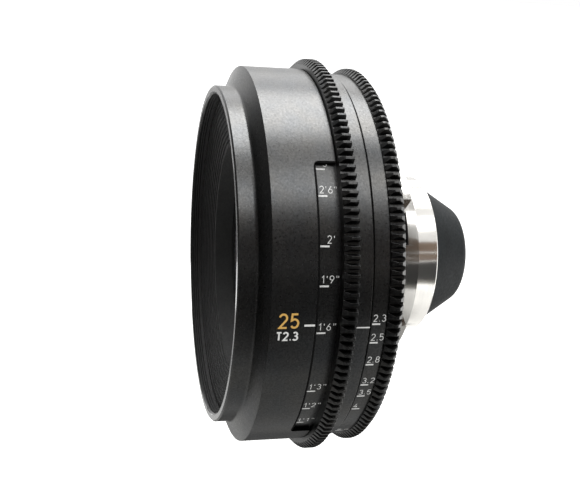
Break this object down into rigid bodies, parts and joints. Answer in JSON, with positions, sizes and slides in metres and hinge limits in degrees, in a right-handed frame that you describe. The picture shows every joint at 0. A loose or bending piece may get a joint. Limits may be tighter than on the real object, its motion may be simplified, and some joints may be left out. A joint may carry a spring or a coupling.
{
  "type": "cinema prime lens",
  "caption": "Cinema prime lens with geared focus and iris rings, a threaded front ring and a four-tab breech-lock mount; focusing slides the glass, the iris ring swings the blades.",
  "frame": {"origin": "centre of the flange seat of the mount, where the lens rests against the camera", "axes": "Y is the optical axis, +Y towards the camera and -Y towards the subject; +Z is the top of the lens; the index lines lie on the +X side"},
  "size_m": [0.1296, 0.0861, 0.1296],
  "materials": {
    "anodised": "satin black anodised aluminium",
    "gear_black": "satin black anodised gear teeth",
    "matte_black": "matte anti-reflection black",
    "baffle_black": "matte black",
    "stainless": "turned stainless steel",
    "bare_aluminium": "turned",
    "brass": "plain",
    "steel": "ground",
    "screw_black": "black oxide",
    "blade": "blackened spring steel",
    "glass": "coated optical glass"
  },
  "bodies": {
    "housing": {"front_ring": "anodised", "front_baffle": "matte_black", "front_housing": "anodised", "front_housing_screws": "screw_black", "main_barrel": "bare_aluminium", "focus_thrust_washer": "brass", "focus_stop_pin": "steel", "index_ring": "anodised", "index_ring_screws": "screw_black", "iris_thrust_washer": "brass", "iris_stop_pin": "steel", "rear_cover": "matte_black", "rear_cover_screws": "screw_black", "back_focus_shim": "brass", "mount_flange": "stainless", "mount_screws": "stainless", "rear_baffle": "baffle_black"},
    "focus": {"focus_ring": "anodised", "focus_gear": "gear_black", "focus_cam_sleeve": "bare_aluminium", "focus_ring_screws": "screw_black"},
    "carriage": {"carriage": "bare_aluminium", "cam_followers": "steel", "front_cell": "matte_black", "front_element": "glass", "front_retaining_ring": "matte_black", "second_element": "glass", "element_spacer": "matte_black", "third_element": "glass", "third_retaining_ring": "matte_black", "iris_plate": "matte_black", "driver_retainer": "matte_black", "rear_cell": "matte_black", "doublet_front": "glass", "doublet_rear": "glass", "rear_spacer": "matte_black", "rear_element": "glass", "rear_retaining_ring": "matte_black"},
    "iris": {"iris_ring": "anodised", "iris_gear": "gear_black"},
    "driver": {"iris_driver": "steel", "iris_drive_pin": "steel"},
    "iris_blade_1": {"iris_blade_1": "blade"},
    "iris_blade_2": {"iris_blade_2": "blade"},
    "iris_blade_3": {"iris_blade_3": "blade"},
    "iris_blade_4": {"iris_blade_4": "blade"},
    "iris_blade_5": {"iris_blade_5": "blade"},
    "iris_blade_6": {"iris_blade_6": "blade"},
    "iris_blade_7": {"iris_blade_7": "blade"},
    "iris_blade_8": {"iris_blade_8": "blade"}
  },
  "joints": [
    {"name": "focus_turn", "type": "hinge", "parent": "housing", "child": "focus", "pos_m": [0, -0.0323, 0], "axis": [0, -1, 0], "range_deg": [-88.5, 48.5]},
    {"name": "iris_turn", "type": "hinge", "parent": "housing", "child": "iris", "pos_m": [0, -0.02, 0], "axis": [0, -1, 0], "range_deg": [0, 110]},
    {"name": "carriage_slide", "type": "slide", "parent": "housing", "child": "carriage", "axis": [0, -1, 0], "range_m": [-0.00195, 0.00107]},
    {"name": "driver_turn", "type": "hinge", "parent": "carriage", "child": "driver", "pos_m": [0, -0.021, 0], "axis": [0, -1, 0], "range_deg": [0, 110]},
    {"name": "iris_blade_1_swing", "type": "hinge", "parent": "carriage", "child": "iris_blade_1", "pos_m": [0.024, -0.024, 0], "axis": [0, -1, 0], "range_deg": [0, 23.5]},
    {"name": "iris_blade_2_swing", "type": "hinge", "parent": "carriage", "child": "iris_blade_2", "pos_m": [0.01697, -0.024, 0.01697], "axis": [0, -1, 0], "range_deg": [0, 23.5]},
    {"name": "iris_blade_3_swing", "type": "hinge", "parent": "carriage", "child": "iris_blade_3", "pos_m": [0, -0.024, 0.024], "axis": [0, -1, 0], "range_deg": [0, 23.5]},
    {"name": "iris_blade_4_swing", "type": "hinge", "parent": "carriage", "child": "iris_blade_4", "pos_m": [-0.01697, -0.024, 0.01697], "axis": [0, -1, 0], "range_deg": [0, 23.5]},
    {"name": "iris_blade_5_swing", "type": "hinge", "parent": "carriage", "child": "iris_blade_5", "pos_m": [-0.024, -0.024, 0], "axis": [0, -1, 0], "range_deg": [0, 23.5]},
    {"name": "iris_blade_6_swing", "type": "hinge", "parent": "carriage", "child": "iris_blade_6", "pos_m": [-0.01697, -0.024, -0.01697], "axis": [0, -1, 0], "range_deg": [0, 23.5]},
    {"name": "iris_blade_7_swing", "type": "hinge", "parent": "carriage", "child": "iris_blade_7", "pos_m": [0, -0.024, -0.024], "axis": [0, -1, 0], "range_deg": [0, 23.5]},
    {"name": "iris_blade_8_swing", "type": "hinge", "parent": "carriage", "child": "iris_blade_8", "pos_m": [0.01697, -0.024, -0.01697], "axis": [0, -1, 0], "range_deg": [0, 23.5]}
  ],
  "couplings": [
    {"joint": "carriage_slide", "follows": "focus_turn", "m_per_rad": 0.0012547},
    {"joint": "driver_turn", "follows": "iris_turn", "ratio": 1},
    {"joint": "iris_blade_1_swing", "follows": "iris_turn", "ratio": 0.21364},
    {"joint": "iris_blade_2_swing", "follows": "iris_turn", "ratio": 0.21364},
    {"joint": "iris_blade_3_swing", "follows": "iris_turn", "ratio": 0.21364},
    {"joint": "iris_blade_4_swing", "follows": "iris_turn", "ratio": 0.21364},
    {"joint": "iris_blade_5_swing", "follows": "iris_turn", "ratio": 0.21364},
    {"joint": "iris_blade_6_swing", "follows": "iris_turn", "ratio": 0.21364},
    {"joint": "iris_blade_7_swing", "follows": "iris_turn", "ratio": 0.21364},
    {"joint": "iris_blade_8_swing", "follows": "iris_turn", "ratio": 0.21364}
  ]
}
